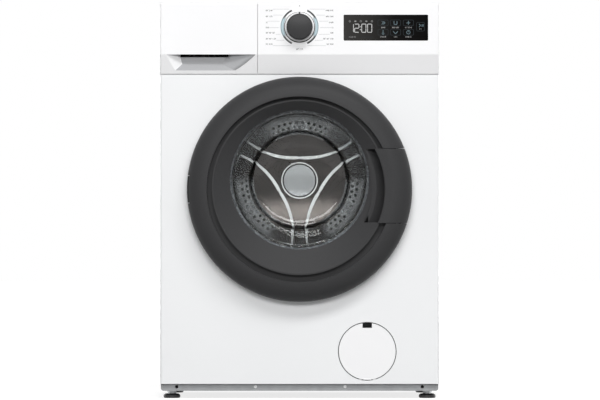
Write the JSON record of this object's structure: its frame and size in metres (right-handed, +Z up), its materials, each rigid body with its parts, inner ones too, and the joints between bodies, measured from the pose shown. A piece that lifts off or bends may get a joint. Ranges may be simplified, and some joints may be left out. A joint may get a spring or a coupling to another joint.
{
  "type": "front load washing machine",
  "caption": "White front-loading washing machine with a dark porthole door, pull-out detergent drawer, rotary dial, display strip and round drain filter cover",
  "frame": {"origin": "on the floor under the middle of the machine's box, feet screwed fully in", "axes": "X to the viewer's right across the front, Y from the front to the back, Z up"},
  "size_m": [0.595, 0.561, 0.845],
  "materials": {
    "white_enamel": "gloss",
    "white_plastic": "satin",
    "charcoal_plastic": "satin",
    "dial_grey": "satin",
    "display_black": "gloss",
    "light_guide": "frosted",
    "clear_glass": "polished",
    "stainless_steel": "brushed",
    "zinc_plated_steel": "zinc plated",
    "grey_rubber": "matt",
    "black_rubber": "matt",
    "tub_plastic": "matt",
    "grey_plastic": "matt",
    "black_plastic": "matt",
    "concrete": "cast",
    "cast_aluminium": "cast",
    "circuit_board": "solder mask",
    "white_tray_plastic": "satin"
  },
  "bodies": {
    "cabinet": {"side_panel_left": "white_enamel", "side_panel_right": "white_enamel", "front_panel": "white_enamel", "rear_panel": "zinc_plated_steel", "rear_service_cover": "zinc_plated_steel", "top_cover": "white_plastic", "base_tray": "zinc_plated_steel", "foot_lock_nuts": "zinc_plated_steel", "control_fascia": "white_plastic", "display_window": "display_black", "dial_light_ring": "light_guide", "control_board": "circuit_board", "dispenser_housing": "white_tray_plastic", "dispenser_hose": "black_rubber", "inlet_valve": "white_tray_plastic", "hinge_bracket": "cast_aluminium", "door_lock": "black_plastic", "door_gasket": "grey_rubber", "damper_cylinders": "zinc_plated_steel", "suspension_springs": "zinc_plated_steel", "filter_pocket": "grey_plastic", "drain_pump": "black_plastic", "sump_hose": "black_rubber", "drain_hose": "black_rubber", "drain_outlet": "black_plastic", "cord_gland": "black_plastic", "transit_caps": "grey_plastic"},
    "wash_unit": {"tub_front": "tub_plastic", "tub_rear": "tub_plastic", "heater_element": "zinc_plated_steel", "front_counterweight": "concrete", "top_counterweight": "concrete", "drum_bearings": "zinc_plated_steel", "shaft_seal": "black_rubber", "motor_body": "cast_aluminium", "drive_belt": "black_rubber", "damper_rods": "zinc_plated_steel"},
    "drum": {"drum_shell": "stainless_steel", "drum_back": "stainless_steel", "drum_lifters": "grey_plastic", "drum_spider": "cast_aluminium", "drum_pulley": "cast_aluminium"},
    "motor_rotor": {"motor_pulley": "zinc_plated_steel"},
    "door": {"door_outer_ring": "charcoal_plastic", "door_front_frame": "charcoal_plastic", "door_inner_frame": "charcoal_plastic", "door_glass": "clear_glass", "handle_pin": "zinc_plated_steel"},
    "handle": {"door_handle": "charcoal_plastic", "door_hook": "cast_aluminium"},
    "drawer": {"drawer_front": "white_plastic", "drawer_tray": "white_tray_plastic"},
    "dial": {"dial_knob": "dial_grey", "dial_skirt": "white_plastic"},
    "filter_cover": {"filter_flap": "white_plastic"},
    "lint_filter": {"drain_filter": "grey_plastic"},
    "foot_fl": {"foot_front_left": "black_plastic"},
    "foot_fr": {"foot_front_right": "black_plastic"},
    "foot_rl": {"foot_rear_left": "black_plastic"},
    "foot_rr": {"foot_rear_right": "black_plastic"}
  },
  "joints": [
    {"name": "tub_bounce", "type": "slide", "parent": "cabinet", "child": "wash_unit", "axis": [0, 0, 1], "range_m": [-0.008, 0.008], "stiffness_N_per_m": 12000, "springref_m": 0.02836, "deforming": ["suspension_springs", "dispenser_hose", "sump_hose", "door_gasket"]},
    {"name": "drum_spin", "type": "hinge", "parent": "wash_unit", "child": "drum", "pos_m": [0, 0, 0.466], "axis": [0, 1, 0], "continuous": true},
    {"name": "motor_spin", "type": "hinge", "parent": "wash_unit", "child": "motor_rotor", "pos_m": [0.11, 0.2015, 0.14], "axis": [0, 1, 0], "continuous": true},
    {"name": "door_swing", "type": "hinge", "parent": "cabinet", "child": "door", "pos_m": [-0.22, -0.2585, 0.446], "axis": [0, 0, -1], "range_deg": [0, 110]},
    {"name": "handle_pull", "type": "hinge", "parent": "door", "child": "handle", "pos_m": [0.208, -0.2525, 0.4534], "axis": [0, 0, 1], "range_deg": [0, 12], "stiffness_Nm_per_rad": 3, "springref_deg": -8.59},
    {"name": "drawer_slide", "type": "slide", "parent": "cabinet", "child": "drawer", "axis": [0, -1, 0], "range_m": [0, 0.14]},
    {"name": "dial_turn", "type": "hinge", "parent": "cabinet", "child": "dial", "pos_m": [0, -0.2435, 0.792], "axis": [0, 1, 0], "continuous": true},
    {"name": "flap_tilt", "type": "hinge", "parent": "cabinet", "child": "filter_cover", "pos_m": [0.1444, -0.2287, 0.041], "axis": [1, 0, 0], "range_deg": [0, 40]},
    {"name": "filter_turn", "type": "hinge", "parent": "cabinet", "child": "lint_filter", "pos_m": [0.1444, -0.1725, 0.1005], "axis": [0, -1, 0], "range_deg": [0, 90]},
    {"name": "foot_front_left_screw", "type": "slide", "parent": "cabinet", "child": "foot_fl", "axis": [0, 0, -1], "range_m": [0, 0.012]},
    {"name": "foot_front_right_screw", "type": "slide", "parent": "cabinet", "child": "foot_fr", "axis": [0, 0, -1], "range_m": [0, 0.012]},
    {"name": "foot_rear_left_screw", "type": "slide", "parent": "cabinet", "child": "foot_rl", "axis": [0, 0, -1], "range_m": [0, 0.012]},
    {"name": "foot_rear_right_screw", "type": "slide", "parent": "cabinet", "child": "foot_rr", "axis": [0, 0, -1], "range_m": [0, 0.012]}
  ],
  "couplings": [
    {"joint": "motor_spin", "follows": "drum_spin", "ratio": 12.727}
  ]
}
